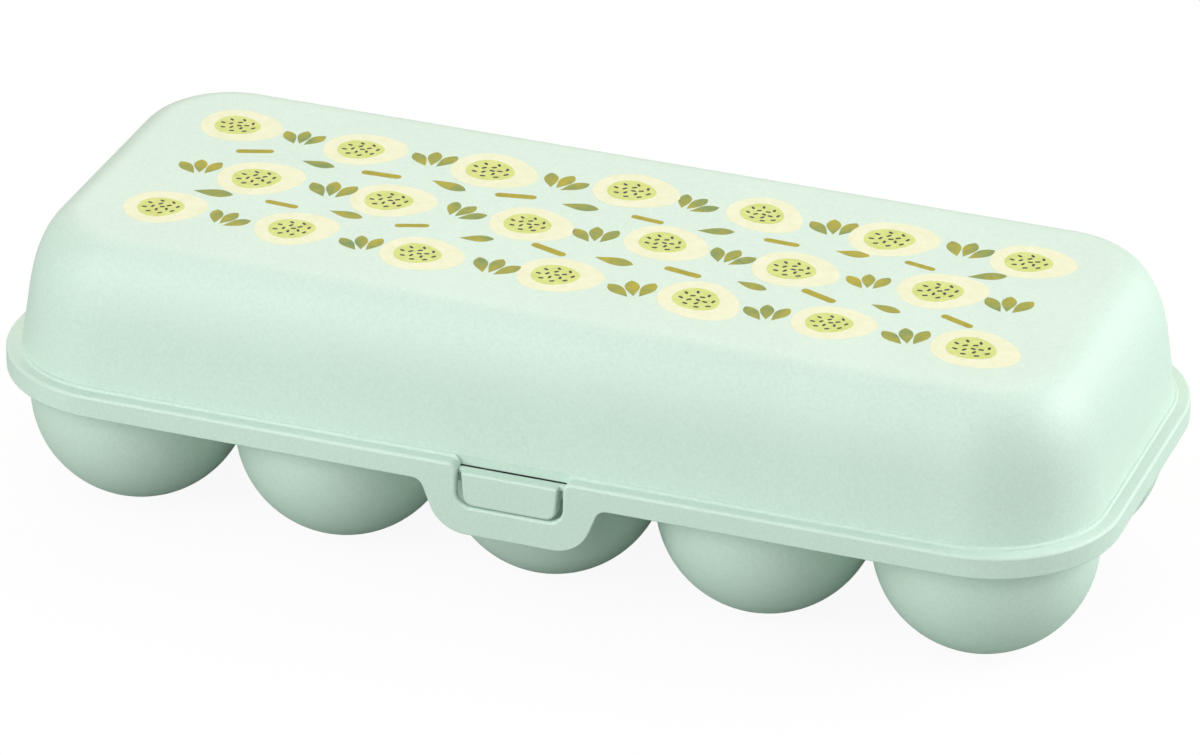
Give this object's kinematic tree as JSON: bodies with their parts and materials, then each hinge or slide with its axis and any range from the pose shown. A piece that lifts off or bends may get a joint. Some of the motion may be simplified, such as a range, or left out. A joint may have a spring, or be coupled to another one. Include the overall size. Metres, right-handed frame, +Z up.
{
  "type": "egg box",
  "caption": "Rectangular moulded egg box: a tray of round egg cups under a domed lid, hinged at the back on pins, with a snap clasp flap over a catch at the front.",
  "frame": {"origin": "on the ground, under the middle of the closed box with its hinges", "axes": "+Z up, +X along the rows of cups to the right, -Y towards the clasp flap at the front"},
  "size_m": [0.2604, 0.1202, 0.0693],
  "materials": {
    "mint_plastic": "satin moulded, with a fine grain",
    "pin_plastic": "smooth extruded rod"
  },
  "bodies": {
    "tray": {"base_tray": "mint_plastic", "hinge_pin_left": "pin_plastic", "hinge_pin_right": "pin_plastic"},
    "lid": {"lid": "mint_plastic"},
    "clasp_flap": {"clasp_flap": "mint_plastic"}
  },
  "joints": [
    {"name": "lid_hinge", "type": "hinge", "parent": "tray", "child": "lid", "pos_m": [0, 0.05507, 0.0323], "axis": [-1, 0, 0], "range_deg": [0, 115]},
    {"name": "clasp_flex", "type": "hinge", "parent": "lid", "child": "clasp_flap", "pos_m": [0, -0.06008, 0.0311], "axis": [-1, 0, 0], "range_deg": [0, 20], "stiffness_Nm_per_rad": 0.2}
  ]
}
